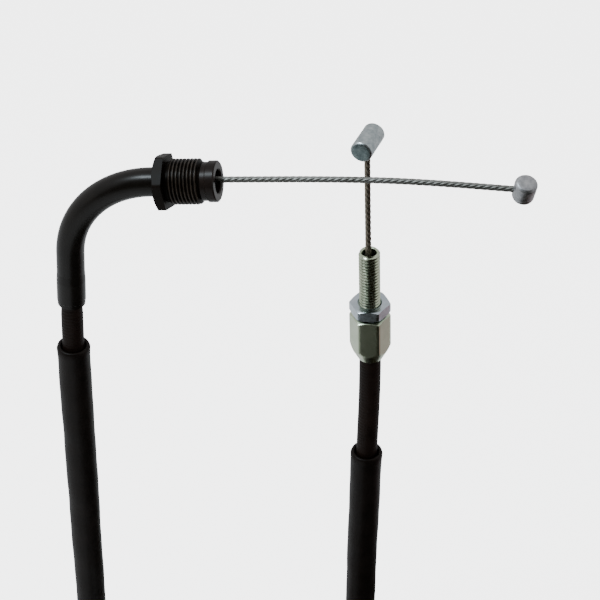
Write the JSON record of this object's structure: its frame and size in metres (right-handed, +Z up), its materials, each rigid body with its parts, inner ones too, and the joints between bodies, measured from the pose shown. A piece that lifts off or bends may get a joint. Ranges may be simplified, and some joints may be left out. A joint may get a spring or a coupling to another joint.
{
  "type": "throttle cable",
  "caption": "Motorcycle throttle cable: lined conduit in a loose sleeve, elbow with threaded gland nut, screw adjuster with lock nut, and stranded wire with a barrel nipple at each end.",
  "frame": {"origin": "on the adjuster's axis, where its thread leaves the lock nut's top face", "axes": "+Z up along the adjuster's thread, towards the carburettor; +X towards the throttle nipple, in the plane of the two cable ends; -Y towards the coil's middle"},
  "size_m": [0.137, 0.1141, 0.24],
  "materials": {
    "black_tube": "black, semi-gloss",
    "black_gland": "black oxide with a brown cast, satin",
    "adjuster_zinc": "olive yellow zinc plating, satin",
    "nut_zinc": "bright bluish zinc plating",
    "zinc_plate": "zinc plated, satin",
    "barrel": "cast zinc, matte",
    "wire": "stranded steel wire, oiled",
    "conduit_jacket": "black, satin, faint ridges of the spiral",
    "spiral_steel": "flat wound steel wire",
    "liner": "white low-friction liner",
    "sleeve": "black flexible sleeve, satin",
    "tie": "black moulded strap"
  },
  "bodies": {
    "cable": {"conduit_jacket_throttle": "conduit_jacket", "conduit_jacket_carburettor": "conduit_jacket", "conduit_spiral_throttle": "spiral_steel", "conduit_spiral_carburettor": "spiral_steel", "conduit_liner_throttle": "liner", "conduit_liner_carburettor": "liner", "wire_core_throttle": "wire", "wire_core_carburettor": "wire", "sleeve_throttle": "sleeve", "sleeve_carburettor": "sleeve", "cable_coil": "sleeve", "coil_tie_left": "tie", "coil_tie_right": "tie", "elbow_tube": "black_tube", "elbow_liner": "liner", "end_collar": "black_tube", "elbow_ferrule": "zinc_plate", "adjuster_ferrule": "zinc_plate"},
    "gland": {"gland_nut": "black_gland"},
    "adjuster": {"adjuster_screw": "adjuster_zinc"},
    "lock_nut": {"lock_nut": "nut_zinc"},
    "throttle_wire": {"throttle_wire": "wire", "throttle_barrel": "barrel"},
    "carburettor_wire": {"carburettor_wire": "wire", "carburettor_barrel": "barrel"}
  },
  "joints": [
    {"name": "gland_spin", "type": "hinge", "parent": "cable", "child": "gland", "pos_m": [-0.03979, -0.00552, 0.04677], "axis": [0.972, -0.2088, 0.1075], "continuous": true},
    {"name": "throttle_pull", "type": "slide", "parent": "cable", "child": "throttle_wire", "axis": [0.972, -0.2088, 0.1075], "range_m": [-0.003, 0.018]},
    {"name": "carburettor_pull", "type": "slide", "parent": "cable", "child": "carburettor_wire", "axis": [0, 0, 1], "range_m": [-0.018, 0.003]},
    {"name": "adjuster_turn", "type": "hinge", "parent": "cable", "child": "adjuster", "pos_m": [0, 0, 0], "axis": [0, 0, 1], "range_deg": [-5400, 0]},
    {"name": "lock_nut_travel", "type": "slide", "parent": "cable", "child": "lock_nut", "axis": [0, 0, 1], "range_m": [0, 0.0151]}
  ],
  "couplings": [
    {"joint": "carburettor_pull", "follows": "throttle_pull", "ratio": -1},
    {"joint": "lock_nut_travel", "follows": "adjuster_turn", "m_per_rad": -0.00015915}
  ]
}
